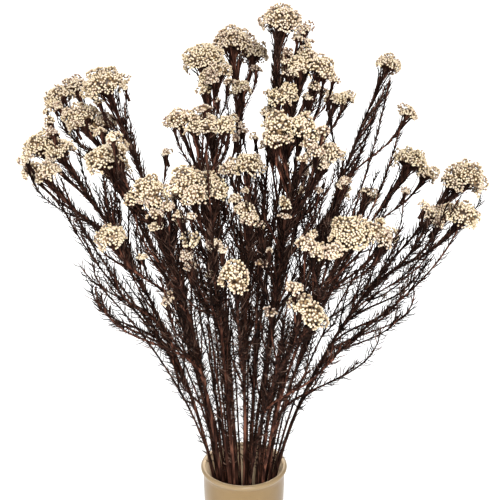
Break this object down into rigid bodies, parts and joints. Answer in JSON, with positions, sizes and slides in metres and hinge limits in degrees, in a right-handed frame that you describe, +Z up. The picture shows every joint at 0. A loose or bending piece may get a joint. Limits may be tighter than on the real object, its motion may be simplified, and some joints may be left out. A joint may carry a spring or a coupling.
{
  "type": "dried rice flower bunch",
  "caption": "Bunch of dried rice flower standing in a round vase: dark needle-leaved stems fan out and end in domed heads of tiny cream buds.",
  "frame": {"origin": "centre of the vase's flat foot, on the surface that it stands on", "axes": "+Z up along the vase's axis, -Y towards the front of the bunch"},
  "size_m": [0.3742, 0.3276, 0.5558],
  "materials": {
    "vase": "gloss",
    "stem": "matte",
    "flower_head": "matte"
  },
  "bodies": {
    "root": {"vase": "vase", "stem_01": "stem", "stem_02": "stem", "stem_03": "stem", "stem_04": "stem", "stem_05": "stem", "stem_06": "stem", "stem_07": "stem", "stem_08": "stem", "stem_09": "stem", "stem_10": "stem", "stem_11": "stem", "stem_12": "stem", "stem_13": "stem", "stem_14": "stem", "stem_15": "stem", "stem_16": "stem", "stem_17": "stem", "stem_18": "stem", "stem_19": "stem", "stem_20": "stem", "stem_21": "stem", "stem_22": "stem", "head_01a": "flower_head", "head_01b": "flower_head", "head_02a": "flower_head", "head_02b": "flower_head", "head_03a": "flower_head", "head_03b": "flower_head", "head_04a": "flower_head", "head_04b": "flower_head", "head_05a": "flower_head", "head_06a": "flower_head", "head_07a": "flower_head", "head_07b": "flower_head", "head_08a": "flower_head", "head_09a": "flower_head", "head_09b": "flower_head", "head_09c": "flower_head", "head_10a": "flower_head", "head_10b": "flower_head", "head_11a": "flower_head", "head_11b": "flower_head", "head_12a": "flower_head", "head_12b": "flower_head", "head_13a": "flower_head", "head_13b": "flower_head", "head_14a": "flower_head", "head_14b": "flower_head", "head_15a": "flower_head", "head_15b": "flower_head", "head_16a": "flower_head", "head_16b": "flower_head", "head_17a": "flower_head", "head_17b": "flower_head", "head_18a": "flower_head", "head_19a": "flower_head", "head_20a": "flower_head", "head_21a": "flower_head", "head_22a": "flower_head"}
  },
  "joints": []
}
